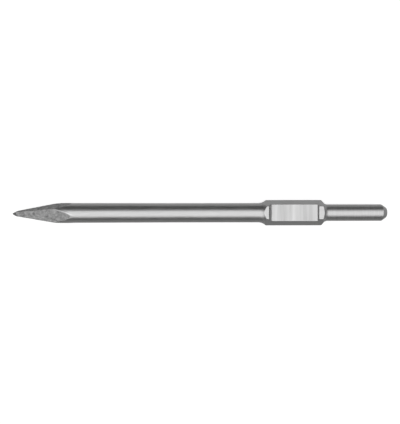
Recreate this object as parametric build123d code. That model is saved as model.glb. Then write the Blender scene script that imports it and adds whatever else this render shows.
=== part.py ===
"""Moil-point chisel with a hexagonal shank: the working tool of an electric demolition hammer.

One bar of forged and machined tool steel: a four-sided point, a round body, a hexagonal collar with a
recess for the hammer's retainer, and a round tail that the hammer strikes.

Frame: the axis lies along X and passes through the origin, which is the centre of the struck end.
+X points out of the tail, the point lies at -X, and +Z points out of the flat that has the recess.
"""

from build123d import *
import os
from math import radians, sin, sqrt, tan

# Whole tool
overall_length = 506.7

# Tail, which the hammer strikes: a round bar with a domed end
tail_diameter = 22.3
tail_length = 83.8
struck_face_diameter = 12.4
dome_length = 7.2
dome_edge_radius = 0.4
struck_face_edge_radius = 4.1

# Hexagonal collar, which the hammer's socket guides
hex_across_flats = 30.0
hex_edge_radius = 0.8
collar_length = 74.9
rear_cone_angle = 51.8
rear_root_radius = 7.1
front_cone_angle = 42.1
front_root_radius = 14.5

# Retainer recess in the upper flat of the collar, with a land of whole flat left at each end
recess_rear_land = 5.6
recess_front_land = 2.7
recess_depth = 4.35
recess_rear_wall_angle = 82.0
recess_wall_foot_radius = 1.8
recess_front_ramp_angle = 60.0
recess_ramp_foot_radius = 7.0

# Round body, which swells a little towards the forged point: how much wider, and over what lengths
body_diameter = 26.0
neck_swell = 0.7
shoulder_swell = 2.4
neck_length = 145.0
shoulder_length = 18.3

# Forged point: four flats, then a short steep tip with a blunt end
point_taper_angle = 7.94
point_turn_angle = 22.0
tip_length = 5.3
tip_across_flats = 5.7
tip_end_width = 1.3

# What follows from the sizes above
tail_radius = tail_diameter / 2
body_radius = body_diameter / 2
neck_radius = (body_diameter + neck_swell) / 2
shoulder_radius = (body_diameter + shoulder_swell) / 2
hex_corner_radius = hex_across_flats / sqrt(3)
# The cones run out a little past the hexagon's corners, so that they cut the corners cleanly.
cone_overrun = 0.5
envelope_radius = hex_corner_radius + cone_overrun
rear_slope = tan(radians(rear_cone_angle))
front_slope = tan(radians(front_cone_angle))
rear_root_x = -tail_length
rear_corner_x = rear_root_x - (hex_corner_radius - tail_radius) / rear_slope
front_corner_x = rear_corner_x - collar_length
front_root_x = front_corner_x - (hex_corner_radius - body_radius) / front_slope
tip_end_x = -overall_length
tip_base_x = tip_end_x + tip_length


def station_of_flat(distance):
    """The x where the point's long flats are this far from the axis."""
    return tip_base_x + (distance - tip_across_flats / 2) / tan(radians(point_taper_angle))


def root_fillet(wanted, cone_angle, root_radius):
    """The wanted root fillet, or the largest that leaves some of the cone beside it."""
    cone_slant = (envelope_radius - root_radius) / sin(radians(cone_angle))
    return min(wanted, 0.9 * cone_slant / tan(radians(cone_angle / 2)))


# The body is widest where the point's ridges, sqrt(2) further out than its flats, run out into it.
shoulder_x = station_of_flat(shoulder_radius / sqrt(2))
neck_end_x = shoulder_x + shoulder_length
neck_start_x = neck_end_x + neck_length
rear_fillet = root_fillet(rear_root_radius, rear_cone_angle, tail_radius)
front_fillet = root_fillet(front_root_radius, front_cone_angle, body_radius)
# Where the root fillets run out into the round tail and the round body, which ends the collar.
rear_root_end_x = rear_root_x + rear_fillet * tan(radians(rear_cone_angle / 2))
front_root_end_x = front_root_x - front_fillet * tan(radians(front_cone_angle / 2))


def turned_bar():
    """Tail with its domed end, both cones of the collar with their root fillets, and the round body."""
    outline = Polyline(
        (0, 0),
        (0, struck_face_diameter / 2),
        (-dome_length, tail_radius),
        (rear_root_x, tail_radius),
        (rear_corner_x - cone_overrun / rear_slope, envelope_radius),
        (front_corner_x + cone_overrun / front_slope, envelope_radius),
        (front_root_x, body_radius),
        (neck_start_x, body_radius),
        (neck_end_x, neck_radius),
        (shoulder_x, shoulder_radius),
        (tip_end_x, shoulder_radius),
        (tip_end_x, 0),
        close=True,
    )
    section = make_face(outline)
    for x, radius, edge_radius in (
        (0, struck_face_diameter / 2, struck_face_edge_radius),
        (-dome_length, tail_radius, dome_edge_radius),
        (rear_root_x, tail_radius, rear_fillet),
        (front_root_x, body_radius, front_fillet),
    ):
        corner = section.vertices().sort_by_distance((x, radius, 0))[0]
        section = fillet(corner, edge_radius)
    return revolve(section, Axis.X)


def collar_flats():
    """Cutter for the collar's six flats: a round sleeve over the collar and its roots, less the hexagon."""
    # The hexagon's first corner lies along the sketch's X, here +Y, so one flat is square to +Z.
    across = Plane(origin=(front_root_end_x, 0, 0), x_dir=(0, 1, 0), z_dir=(1, 0, 0))
    hexagon = RegularPolygon(hex_across_flats / 2, 6, major_radius=False)
    hexagon = fillet(hexagon.vertices(), hex_edge_radius)
    sleeve = Circle(2 * envelope_radius) - hexagon
    return extrude(across * sleeve, rear_root_end_x - front_root_end_x)


def point_wedge():
    """One opposite pair of the point's flats, as a wedge that is wider than the bar behind the point."""
    reach = 1.5 * envelope_radius
    upper = [
        (tip_end_x, tip_end_width / 2),
        (tip_base_x, tip_across_flats / 2),
        (station_of_flat(reach), reach),
        (1, reach),
    ]
    lower = [(x, -z) for x, z in reversed(upper)]
    outline = make_face(Plane.XZ * Polyline(*upper, *lower, close=True))
    return extrude(outline, reach, both=True)


def point_flats():
    """The point's four flats, rolled about the axis out of line with the collar's flats."""
    pair = point_wedge()
    return Rot(point_turn_angle, 0, 0) * (pair & Rot(90, 0, 0) * pair)


def retainer_recess():
    """Cutter for the recess: flat floor, steep rear wall and front ramp, open above and at both sides."""
    flat_z = hex_across_flats / 2
    floor_z = flat_z - recess_depth
    top_z = flat_z + recess_depth
    wall_run = recess_depth / tan(radians(recess_rear_wall_angle))
    ramp_run = recess_depth / tan(radians(recess_front_ramp_angle))
    wall_x = rear_corner_x - recess_rear_land
    ramp_x = front_corner_x + recess_front_land
    # Both ends keep their slopes for as far above the flat as the floor is below it.
    outline = Polyline(
        (wall_x - wall_run, floor_z),
        (wall_x + wall_run, top_z),
        (ramp_x - ramp_run, top_z),
        (ramp_x + ramp_run, floor_z),
        close=True,
    )
    cutter = extrude(make_face(Plane.XZ * outline), 2 * envelope_radius, both=True)
    ramp_foot = cutter.faces().sort_by(Axis.Z)[0].edges().filter_by(Axis.Y).sort_by(Axis.X)[0]
    ramp_slant = recess_depth / sin(radians(recess_front_ramp_angle))
    ramp_foot_limit = 0.9 * ramp_slant / tan(radians(recess_front_ramp_angle / 2))
    cutter = fillet(ramp_foot, min(recess_ramp_foot_radius, ramp_foot_limit))
    wall_foot = cutter.faces().sort_by(Axis.Z)[0].edges().filter_by(Axis.Y).sort_by(Axis.X)[-1]
    return fillet(wall_foot, recess_wall_foot_radius)


def cut_square(bar, stations):
    """The bar's lengths between square cuts across it, which touch face to face with nothing lost."""
    lengths = [bar]
    for x in stations:
        halves = [split(piece, Plane.YZ.offset(x), keep=Keep.BOTH) for piece in lengths]
        lengths = [solid for half in halves for solid in half.solids()]
    return lengths


forging = (turned_bar() & point_flats()) - collar_flats() - retainer_recess()

# The real tool is one forging. It is stored as three solids that touch, the tail, the collar, and the
# body with its point, because each is close to convex by itself and the whole bar isn't.
chisel = Compound(cut_square(forging, [rear_root_end_x, front_root_end_x]))

os.makedirs("parts", exist_ok=True)
export_step(chisel, "parts/moil_point_chisel.step")
print(f"volume {chisel.volume / 1000:.1f} cm3, box {chisel.bounding_box()}")
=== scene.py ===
"""Moil-point chisel with a hexagonal shank, lying on a pale table under a wide overhead softbox.

The visible tool is one closed surface around the X axis. At each place along the axis, its distance
from the axis in each direction is the smallest of the distances of the surfaces that the bar is cut to:
the turned outline, the collar's six flats, the recess and the point's four flats. Sizes are in metres.
"""

from math import atan2, cos, pi, radians, sin, tan

import bpy
import numpy as np
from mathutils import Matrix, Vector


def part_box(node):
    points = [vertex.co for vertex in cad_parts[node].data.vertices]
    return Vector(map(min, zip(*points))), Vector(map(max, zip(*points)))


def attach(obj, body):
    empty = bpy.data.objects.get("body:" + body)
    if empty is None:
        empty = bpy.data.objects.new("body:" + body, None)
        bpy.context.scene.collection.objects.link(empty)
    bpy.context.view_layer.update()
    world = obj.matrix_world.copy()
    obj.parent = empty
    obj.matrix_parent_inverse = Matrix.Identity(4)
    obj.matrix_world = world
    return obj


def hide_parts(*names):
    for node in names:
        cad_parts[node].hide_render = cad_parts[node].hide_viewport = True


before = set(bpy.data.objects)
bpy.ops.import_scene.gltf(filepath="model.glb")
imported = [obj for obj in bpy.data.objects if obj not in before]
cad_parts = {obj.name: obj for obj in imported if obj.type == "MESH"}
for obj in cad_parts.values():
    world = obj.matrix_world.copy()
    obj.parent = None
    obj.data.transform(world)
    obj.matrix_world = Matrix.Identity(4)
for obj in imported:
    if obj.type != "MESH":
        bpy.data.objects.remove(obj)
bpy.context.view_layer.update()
tool_low, tool_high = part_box("moil_point_chisel")


# Tail
# The round end that goes deepest into the hammer, turned from the bar and hardened.
# The striker hits its domed end, and the small flat in the middle of the dome is where it lands.
tail_radius = 0.01115
tail_length = 0.0838
struck_face_radius = 0.0062
dome_length = 0.0072
dome_edge_radius = 0.0004
struck_face_edge_radius = 0.0041
# The struck face stays flat inside its rounded edge, whose arc starts this far from the axis.
dome_slope_angle = atan2(tail_radius - struck_face_radius, dome_length)
struck_face_flat_radius = struck_face_radius - struck_face_edge_radius * tan((pi / 2 - dome_slope_angle) / 2)


def rounded_outline(corners, arc_steps=14):
    """Points along an outline whose corners are rounded.

    Each corner is (x, height, radius). Its arc touches both sides at radius * tan(half the turn) from
    the corner, and runs round a centre that lies one radius square to the incoming side.
    """
    points = [corners[0][:2]]
    for before, corner, after in zip(corners, corners[1:], corners[2:]):
        here = np.array(corner[:2])
        inward = here - np.array(before[:2])
        outward = np.array(after[:2]) - here
        inward, outward = inward / np.hypot(*inward), outward / np.hypot(*outward)
        turn = np.arctan2(inward[0] * outward[1] - inward[1] * outward[0], inward @ outward)
        reach = corner[2] * tan(abs(turn) / 2)
        side = np.sign(turn) * np.array([-inward[1], inward[0]])
        centre = here - reach * inward + corner[2] * side
        angle = np.linspace(0, turn, arc_steps)[:, None]
        spoke = -corner[2] * side
        turned_spoke = np.hstack((
            spoke[0] * np.cos(angle) - spoke[1] * np.sin(angle),
            spoke[0] * np.sin(angle) + spoke[1] * np.cos(angle),
        ))
        points.extend(map(tuple, centre + turned_spoke))
    points.append(corners[-1][:2])
    return np.array(points)


# Collar
# The six-sided length that the hammer's socket guides and keeps from turning. Its flats are ground on
# the forged bar, and a turned cone with a root fillet brings each end down to the round.
flat_distance = 0.015
corner_distance = flat_distance / cos(radians(30))
corner_rounding = 0.0005
collar_length = 0.0749
rear_slope = tan(radians(51.8))
front_slope = tan(radians(42.1))
rear_root_radius = 0.0071
front_root_radius = 0.0145
body_radius = 0.013
rear_root_x = -tail_length
rear_corner_x = rear_root_x - (corner_distance - tail_radius) / rear_slope
front_corner_x = rear_corner_x - collar_length
front_root_x = front_corner_x - (corner_distance - body_radius) / front_slope


def blended_least(one, other, width):
    """The lesser of two distances, rounded where they are within this width of each other.

    It is the least of them, less a quarter of width * (1 - difference / width) squared.
    """
    closeness = np.clip(1 - np.abs(one - other) / width, 0, 1)
    return np.minimum(one, other) - width * closeness**2 / 4


def off_nearest_flat(direction, count, turned_by=0.0):
    """The angle from each direction to the nearest of this many evenly spaced flats, without its sign."""
    step = 2 * pi / count
    return np.abs((direction - turned_by + step / 2) % step - step / 2)


# Recess
# A slot milled across the collar's upper flat, in which the hammer's retainer slides.
# Its floor is flat, its rear wall is steep and its front end ramps up.
recess_depth = 0.00435
recess_floor_z = flat_distance - recess_depth
recess_wall_x = rear_corner_x - 0.0056
recess_ramp_x = front_corner_x + 0.0027
wall_run = recess_depth / tan(radians(82))
ramp_run = recess_depth / tan(radians(60))
wall_foot_radius = 0.0018
ramp_foot_radius = 0.007
clear_z = flat_distance + 4 * recess_depth
recess_outline = rounded_outline([
    (recess_wall_x + 4 * wall_run, clear_z, 0),
    (recess_wall_x - wall_run, recess_floor_z, wall_foot_radius),
    (recess_ramp_x + ramp_run, recess_floor_z, ramp_foot_radius),
    (recess_ramp_x - 4 * ramp_run, clear_z, 0),
])


# Body and point
# The bar itself, left round as drawn, a little thicker where the point was forged from it.
# The point is drawn out to four long flats, and ends in a short steep tip with a blunt end.
neck_radius = 0.01334
shoulder_radius = 0.0142
point_end_x = tool_low.x
tip_length = 0.0053
tip_half_width = 0.00285
tip_end_half_width = 0.00065
point_slope = tan(radians(7.94))
point_turn = radians(-22)
tip_base_x = point_end_x + tip_length
ridge_rounding = 0.0003
shoulder_x = tip_base_x + (shoulder_radius * cos(pi / 4) - tip_half_width) / point_slope
neck_end_x = shoulder_x + 0.0183
neck_start_x = neck_end_x + 0.145

turned_outline = rounded_outline([
    (0.0, 0.0, 0),
    (0.0, struck_face_radius, struck_face_edge_radius),
    (-dome_length, tail_radius, dome_edge_radius),
    (rear_root_x, tail_radius, rear_root_radius),
    (rear_corner_x, corner_distance, 0),
    (rear_corner_x - 0.01, corner_distance + 0.01, 0),
    (front_corner_x + 0.01, corner_distance + 0.01, 0),
    (front_corner_x, corner_distance, 0),
    (front_root_x, body_radius, front_root_radius),
    (neck_start_x, body_radius, 0.5),
    (neck_end_x, neck_radius, 0.05),
    (shoulder_x, shoulder_radius, 0),
    (point_end_x - 0.01, shoulder_radius, 0),
])


def forging_dents(along, direction):
    """How far hammering has pressed the point's flats in, as a sum of slow sine waves about zero."""
    across = direction * 0.012
    wave = (
        np.sin(along * 410 + 3.1 * np.sin(across * 260 + 0.7))
        + np.sin(along * 233 - across * 640 + 1.9)
        + 0.7 * np.sin(along * 930 + across * 510 + 0.4)
    )
    return 0.00006 * wave


# The forging
# The whole tool is one bar of tool steel, so its surface is one closed mesh from the struck face to
# the blunt tip. The rows are close together where the section changes and far apart where it doesn't.
def spaced(*spans):
    """Places along the axis: each span is (from, to, gap), and where spans meet the place is kept once."""
    places = [np.linspace(a, b, max(2, int(round(abs(b - a) / gap)) + 1)) for a, b, gap in spans]
    return np.unique(np.round(np.concatenate(places), 7))[::-1]


def directions():
    """Angles round the axis from +Z: every 3 degrees, and closer at the collar's corners and the ridges."""
    even = np.arange(0, 360, 3.0)
    near_edge = np.array([-2.2, -1.4, -0.7, 0, 0.7, 1.4, 2.2])
    corners = (np.arange(30, 360, 60.0)[:, None] + near_edge).ravel()
    ridges = (np.arange(23, 360, 90.0)[:, None] + near_edge).ravel()
    # The floor runs out through the upper side flats, which slope away from the corners at +Y and -Y.
    floor_half_width = corner_distance - recess_floor_z / 3**0.5
    floor_edge = np.degrees(np.arctan2(floor_half_width, recess_floor_z))
    near_floor_edge = floor_edge + np.array([-1, 0, 1])
    sides = np.concatenate((near_floor_edge, -near_floor_edge))
    return np.radians(np.unique(np.round(np.concatenate((even, corners, ridges, sides)) % 360, 2)))


def closed_round_surface(name, row_x, row_y, row_radius, direction):
    """A mesh of rings round the X axis, closed by a single point at each end.

    Row i, column j is at x = row_x[i], y = row_y[i] + radius * sin(direction), z = radius * cos(direction).
    The first row is at +X and the last at -X, and the faces are wound to point outwards.
    """
    rows, columns = row_radius.shape
    y, z = row_y[:, None] + row_radius * np.sin(direction), row_radius * np.cos(direction)
    rings = np.stack((np.repeat(row_x[:, None], columns, 1), y, z), axis=-1).reshape(-1, 3)
    points = np.vstack((rings, [[row_x[0], row_y[0], 0], [row_x[-1], row_y[-1], 0]]))
    near, far = rows * columns, rows * columns + 1
    here = np.arange(columns)
    following = (here + 1) % columns
    start = (np.arange(rows - 1) * columns)[:, None]
    quads = np.stack((
        start + here, start + columns + here, start + columns + following, start + following), -1)
    first_fan = np.stack((np.full(columns, near), here, following), -1)
    last = (rows - 1) * columns
    last_fan = np.stack((np.full(columns, far), last + following, last + here), -1)
    mesh = bpy.data.meshes.new(name)
    faces = quads.reshape(-1, 4).tolist() + first_fan.tolist() + last_fan.tolist()
    mesh.from_pydata(points.tolist(), [], faces)
    mesh.validate()
    mesh.shade_smooth()
    piece = bpy.data.objects.new(name, mesh)
    bpy.context.scene.collection.objects.link(piece)
    return piece


around = directions()
station_x = spaced(
    (-0.0001, -dome_length - 0.0006, 0.00028),
    (-dome_length - 0.0006, rear_root_x + 0.005, 0.006),
    (rear_root_x + 0.005, recess_wall_x - 0.0032, 0.0003),
    (recess_wall_x - 0.0032, recess_ramp_x + 0.0074, 0.0025),
    (recess_ramp_x + 0.0074, front_root_x - 0.007, 0.00042),
    (front_root_x - 0.007, neck_end_x + 0.014, 0.006),
    (neck_end_x + 0.014, shoulder_x - 0.002, 0.0005),
    (shoulder_x - 0.002, tip_base_x + 0.001, 0.0011),
    (tip_base_x + 0.001, point_end_x, 0.0004),
)
along, direction = station_x[:, None], around[None, :]

turned = np.interp(-station_x, -turned_outline[:, 0], turned_outline[:, 1])[:, None] + 0 * direction
off_flat = off_nearest_flat(direction, 6)
hexagon = blended_least(
    flat_distance / np.cos(off_flat), flat_distance / np.cos(pi / 3 - off_flat), corner_rounding)
in_recess = (station_x < recess_outline[0, 0]) & (station_x > recess_outline[-1, 0])
recess_z = np.where(in_recess, np.interp(-station_x, -recess_outline[:, 0], recess_outline[:, 1]), clear_z)
facing_up = np.maximum(np.cos(direction), 0.3)
recess = np.where(np.cos(direction) > 0.3, recess_z[:, None] / facing_up, clear_z)
flat_reach = np.interp(
    station_x,
    [point_end_x, tip_base_x, 0],
    [tip_end_half_width, tip_half_width, tip_half_width - tip_base_x * point_slope],
)[:, None]
off_ridge = off_nearest_flat(direction, 4, point_turn)
pyramid = blended_least(
    flat_reach / np.cos(off_ridge),
    flat_reach / np.maximum(np.cos(pi / 2 - off_ridge), 0.05),
    ridge_rounding * np.clip(flat_reach / tip_half_width, 0.2, 1),
)
dent_share = np.clip((flat_reach - tip_end_half_width) / tip_half_width, 0, 1)
dent_depth = forging_dents(along, direction) * dent_share
pyramid = pyramid - dent_depth

radius = blended_least(turned, hexagon, 0.0004)
radius = blended_least(radius, recess, 0.0004)
body_room = pyramid - radius
radius = blended_least(radius, pyramid, 0.0003)
# Forging pushes up a low lip along one side of each flat, and leaves a shallow groove just inside it.
lip_height, lip_width, lip_outside = 0.00022, 0.00034, 0.00042
groove_depth, groove_width, groove_inside = 0.00014, 0.00024, 0.0003
lip = lip_height * np.exp(-(((body_room - lip_outside) / lip_width) ** 2))
groove = groove_depth * np.exp(-(((body_room + groove_inside) / groove_width) ** 2))
quarter = pi / 2
side_of_flat = (direction - point_turn + quarter / 2) % quarter - quarter / 2
lip = lip * np.clip(side_of_flat / radians(12), 0, 1)
near_shoulder = np.clip((station_x - (shoulder_x + 0.001)) / 0.006, 0, 1)[:, None]
radius = radius + (lip - groove) * near_shoulder

face_share = np.array([0.3, 0.6, 0.85])[:, None]
row_x = np.concatenate((np.zeros(4), station_x, np.full(3, station_x[-1])))
flat_radius = np.full((1, len(around)), struck_face_flat_radius)
row_radius = np.vstack((face_share * flat_radius, flat_radius, radius, face_share[::-1] * radius[-1:]))
# The tip stands a little to one side of the bar's axis.
tip_off_axis = -0.0009
row_y = tip_off_axis * np.clip((shoulder_x + 0.01 - row_x) / (shoulder_x + 0.01 - point_end_x), 0, 1) ** 1.5
chisel = closed_round_surface("chisel_forging", row_x, row_y, row_radius, around)

# Which cut made each face decides its finish.
turned_finish, drawn_finish, ground_finish, milled_finish, forged_finish = range(5)
cuts = np.stack((turned, hexagon + 0 * turned, recess, pyramid))
made_by = np.argmin(cuts, axis=0)
finish_of_row = np.where(station_x > front_corner_x, turned_finish, drawn_finish)[:, None]
point_finish = np.where(station_x > tip_base_x, forged_finish, ground_finish)[:, None]
finish = np.choose(made_by, (finish_of_row, ground_finish, milled_finish, point_finish))
finish = np.vstack((
    np.full((4, len(around)), turned_finish), finish, np.full((3, len(around)), ground_finish)))
face_finish = np.concatenate((finish[:-1].ravel(), finish[0], finish[-1])).astype(np.int32)
chisel.data.polygons.foreach_set("material_index", face_finish)

# Edges that rub in the socket or on the ground are worn bright: 1 on an edge, 0 beyond 0.5 mm of it. The lips
# by the point's shoulder get up to 1.2 as well, which is a painted highlight.
two_least = np.sort(cuts[:3], axis=0)[:2]
edge_wear_and_lip_highlight = np.clip(1 - (two_least[1] - two_least[0]) / 0.0005, 0, 1)
corner_wear = np.clip(1 - (pi / 6 - off_flat) / radians(2.2), 0, 1) * (made_by == 1)
edge_wear_and_lip_highlight = np.maximum(edge_wear_and_lip_highlight, corner_wear)
# On the point's lips by the shoulder this lighter colour, up to 1.2, is a painted highlight, not wear.
edge_wear_and_lip_highlight = np.where(made_by == 3, 0, edge_wear_and_lip_highlight) + 1.2 * (lip / lip_height) * near_shoulder
edge_wear_and_lip_highlight = np.clip(edge_wear_and_lip_highlight, 0, 1.2)
edge_wear_and_lip_highlight = np.vstack((np.zeros((4, len(around))), edge_wear_and_lip_highlight, np.ones((3, len(around)))))
wear_and_highlight_layer = chisel.data.attributes.new("edge_wear_and_lip_highlight", "FLOAT", "POINT")
wear_and_highlight_layer.data.foreach_set("value", np.append(edge_wear_and_lip_highlight.ravel(), (0.0, 1.0)).astype(np.float32))


def steel(name, tones, roughness, grain_scale, grain_turn=(0, 0, 0), bump=0.1, bump_height=0.00003,
          mottle=None, spread=(0.34, 0.66), metallic=1.0):
    """Bare steel whose tone and gloss follow a grain, stretched by grain_scale along each axis.

    tones is (dark, light), roughness is (smooth, rough), and mottle is (patch size in metres, strength)
    for the cloudy patches that scale and hammering leave. The tones are reached at the two levels of
    the pattern in spread. Worn edges are lighter, and the lips by the point's shoulder are lighter as a
    painted highlight. Forging scale is part oxide, so its metallic is below 1.
    """
    material = bpy.data.materials.new(name)
    material.use_nodes = True
    nodes, links = material.node_tree.nodes, material.node_tree.links
    shader = nodes["Principled BSDF"]
    shader.inputs["Metallic"].default_value = metallic
    place = nodes.new("ShaderNodeTexCoord")
    mapping = nodes.new("ShaderNodeMapping")
    mapping.inputs["Scale"].default_value = grain_scale
    mapping.inputs["Rotation"].default_value = grain_turn
    links.new(place.outputs["Object"], mapping.inputs["Vector"])
    grain = nodes.new("ShaderNodeTexNoise")
    grain.inputs["Scale"].default_value = 1.0
    grain.inputs["Detail"].default_value = 5.0
    grain.inputs["Roughness"].default_value = 0.62
    links.new(mapping.outputs["Vector"], grain.inputs["Vector"])
    pattern = grain.outputs["Fac"]
    if mottle:
        patch_size, strength = mottle
        patches = nodes.new("ShaderNodeTexNoise")
        patches.inputs["Scale"].default_value = 1 / patch_size
        patches.inputs["Detail"].default_value = 4.0
        patches.inputs["Roughness"].default_value = 0.7
        patches.inputs["Distortion"].default_value = 0.6
        links.new(place.outputs["Object"], patches.inputs["Vector"])
        mixed = nodes.new("ShaderNodeMix")
        mixed.inputs["Factor"].default_value = strength
        links.new(pattern, mixed.inputs["A"])
        links.new(patches.outputs["Fac"], mixed.inputs["B"])
        pattern = mixed.outputs["Result"]
    tone = nodes.new("ShaderNodeValToRGB")
    tone.color_ramp.elements[0].position, tone.color_ramp.elements[1].position = spread
    dark, light = tones
    tone.color_ramp.elements[0].color = (dark, dark, dark, 1)
    tone.color_ramp.elements[1].color = (light, light, light, 1)
    links.new(pattern, tone.inputs["Fac"])
    # The lighter colour is wear on the edges, and a painted highlight on the lips by the point's shoulder.
    wear_and_highlight_input = nodes.new("ShaderNodeAttribute")
    wear_and_highlight_input.attribute_name = "edge_wear_and_lip_highlight"
    wear_and_highlight_share = nodes.new("ShaderNodeMath")
    wear_and_highlight_share.operation = "MULTIPLY"
    wear_and_highlight_share.inputs[1].default_value = 0.45
    links.new(wear_and_highlight_input.outputs["Fac"], wear_and_highlight_share.inputs[0])
    wear_and_highlight_mix = nodes.new("ShaderNodeMix")
    wear_and_highlight_mix.data_type = "RGBA"
    wear_and_highlight_mix.inputs["B"].default_value = (0.74, 0.74, 0.74, 1)
    links.new(wear_and_highlight_share.outputs["Value"], wear_and_highlight_mix.inputs["Factor"])
    links.new(tone.outputs["Color"], wear_and_highlight_mix.inputs["A"])
    links.new(wear_and_highlight_mix.outputs["Result"], shader.inputs["Base Color"])
    gloss = nodes.new("ShaderNodeMapRange")
    gloss.inputs["From Min"].default_value, gloss.inputs["From Max"].default_value = 0.3, 0.7
    gloss.inputs["To Min"].default_value, gloss.inputs["To Max"].default_value = roughness
    links.new(pattern, gloss.inputs["Value"])
    links.new(gloss.outputs["Result"], shader.inputs["Roughness"])
    relief = nodes.new("ShaderNodeBump")
    relief.inputs["Strength"].default_value = bump
    relief.inputs["Distance"].default_value = bump_height
    links.new(pattern, relief.inputs["Height"])
    links.new(relief.outputs["Normal"], shader.inputs["Normal"])
    return material


chisel.data.materials.append(steel(
    "turned_steel", tones=(0.46, 0.56), roughness=(0.36, 0.44), grain_scale=(1900, 60, 60), bump=0.25))
chisel.data.materials.append(steel(
    "drawn_steel", tones=(0.46, 0.56), roughness=(0.34, 0.42), grain_scale=(45, 900, 900), bump=0.25))
chisel.data.materials.append(steel(
    "ground_flats", tones=(0.44, 0.54), roughness=(0.30, 0.40), grain_scale=(60, 1100, 1100), bump=0.25))
chisel.data.materials.append(steel(
    "milled_recess", tones=(0.36, 0.56), roughness=(0.30, 0.38), grain_scale=(75, 4, 4), bump=0.25))
chisel.data.materials.append(steel(
    "forged_point", tones=(0.18, 0.56), roughness=(0.66, 0.86), grain_scale=(170, 420, 170),
    grain_turn=(0, 0, radians(35)), bump=0.6, bump_height=0.00015, mottle=(0.0045, 0.65), spread=(0.36, 0.64),
    metallic=0.25))

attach(chisel, "root")
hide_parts("moil_point_chisel")


# Camera
# It looks straight down on the tool from 0.72 m, with the tail to the right.
camera_data = bpy.data.cameras.new("camera")
camera_data.sensor_width = 36.0
camera_data.lens = 45.0
camera = bpy.data.objects.new("camera", camera_data)
middle_x = (tool_low.x + tool_high.x) / 2
camera.location = (middle_x + 0.00065, 0.0011, 0.7193)
camera.rotation_euler = (0, 0, -0.00137)
bpy.context.scene.collection.objects.link(camera)
bpy.context.scene.camera = camera


# Table
# A pale sheet. It is lifted to white where the camera sees it, and the tool is lit by the sheet
# as it is, whose colour is painted darker towards the front as painted shade.
table_mesh = bpy.data.meshes.new("table")
table_mesh.from_pydata(
    [(x, y, tool_low.z) for x, y in ((-4, -4), (4, -4), (4, 4), (-4, 4))], [], [(0, 1, 2, 3)])
table = bpy.data.objects.new("table", table_mesh)
bpy.context.scene.collection.objects.link(table)
white = bpy.data.materials.new("pale_sheet")
white.use_nodes = True
sheet_nodes, sheet_links = white.node_tree.nodes, white.node_tree.links
sheet = sheet_nodes["Principled BSDF"]
sheet.inputs["Roughness"].default_value = 0.9
sheet.inputs["Specular IOR Level"].default_value = 0.0
sheet_place = sheet_nodes.new("ShaderNodeTexCoord")
sheet_y = sheet_nodes.new("ShaderNodeSeparateXYZ")
sheet_links.new(sheet_place.outputs["Object"], sheet_y.inputs["Vector"])
# Painted shade: the sheet's colour runs from darker at the front to lighter at the back.
painted_shade_front_to_back = sheet_nodes.new("ShaderNodeMapRange")
painted_shade_front_to_back.interpolation_type = "SMOOTHSTEP"
painted_shade_front_to_back.inputs["From Min"].default_value, painted_shade_front_to_back.inputs["From Max"].default_value = -0.06, 0.06
painted_shade_front_to_back.inputs["To Min"].default_value, painted_shade_front_to_back.inputs["To Max"].default_value = 0.38, 0.64
sheet_links.new(sheet_y.outputs["Y"], painted_shade_front_to_back.inputs["Value"])
sheet_links.new(painted_shade_front_to_back.outputs["Result"], sheet.inputs["Base Color"])
lifted = sheet_nodes.new("ShaderNodeAddShader")
lift = sheet_nodes.new("ShaderNodeEmission")
lift.inputs["Color"].default_value = (1, 1, 1, 1)
camera_ray = sheet_nodes.new("ShaderNodeLightPath")
lift_strength = sheet_nodes.new("ShaderNodeMath")
lift_strength.operation = "MULTIPLY"
lift_strength.inputs[1].default_value = 0.76
sheet_links.new(camera_ray.outputs["Is Camera Ray"], lift_strength.inputs[0])
sheet_links.new(lift_strength.outputs["Value"], lift.inputs["Strength"])
sheet_links.new(sheet.outputs["BSDF"], lifted.inputs[0])
sheet_links.new(lift.outputs["Emission"], lifted.inputs[1])
sheet_links.new(lifted.outputs["Shader"], sheet_nodes["Material Output"].inputs["Surface"])
table_mesh.materials.append(white)


# Light
# One wide softbox overhead, leaning towards the front, and a weak light beyond the tail, which reaches
# the struck end and the recess's front ramp. The room is dim, and shows pale behind the table.
softbox_data = bpy.data.lights.new("softbox", "AREA")
softbox_data.shape = "RECTANGLE"
softbox_data.size = 4.2
softbox_data.size_y = 2.45
softbox_data.energy = 45.0
softbox = bpy.data.objects.new("softbox", softbox_data)
softbox_lean = radians(11)
softbox_distance = 1.6
softbox.location = (middle_x, -softbox_distance * sin(softbox_lean), softbox_distance * cos(softbox_lean))
softbox.rotation_euler = (softbox_lean, 0, radians(9))
bpy.context.scene.collection.objects.link(softbox)

end_light_data = bpy.data.lights.new("end_light", "AREA")
end_light_data.shape = "RECTANGLE"
end_light_data.size = 0.7
end_light_data.size_y = 2.4
end_light_data.energy = 2.0
end_light = bpy.data.objects.new("end_light", end_light_data)
end_light.location = (middle_x + 2.2, 0, 0.36)
end_light.rotation_euler = (0, radians(90), 0)
end_light.visible_camera = False
bpy.context.scene.collection.objects.link(end_light)

room = bpy.data.worlds.new("room")
bpy.context.scene.world = room
room.use_nodes = True
room_nodes, room_links = room.node_tree.nodes, room.node_tree.links
dim = room_nodes["Background"]
dim.inputs["Color"].default_value = (0.07, 0.07, 0.07, 1)
pale = room_nodes.new("ShaderNodeBackground")
pale.inputs["Color"].default_value = (1, 1, 1, 1)
seen = room_nodes.new("ShaderNodeLightPath")
backdrop = room_nodes.new("ShaderNodeMixShader")
room_links.new(seen.outputs["Is Camera Ray"], backdrop.inputs["Fac"])
room_links.new(dim.outputs["Background"], backdrop.inputs[1])
room_links.new(pale.outputs["Background"], backdrop.inputs[2])
room_links.new(backdrop.outputs["Shader"], room_nodes["World Output"].inputs["Surface"])
bpy.context.scene.view_settings.view_transform = "Standard"
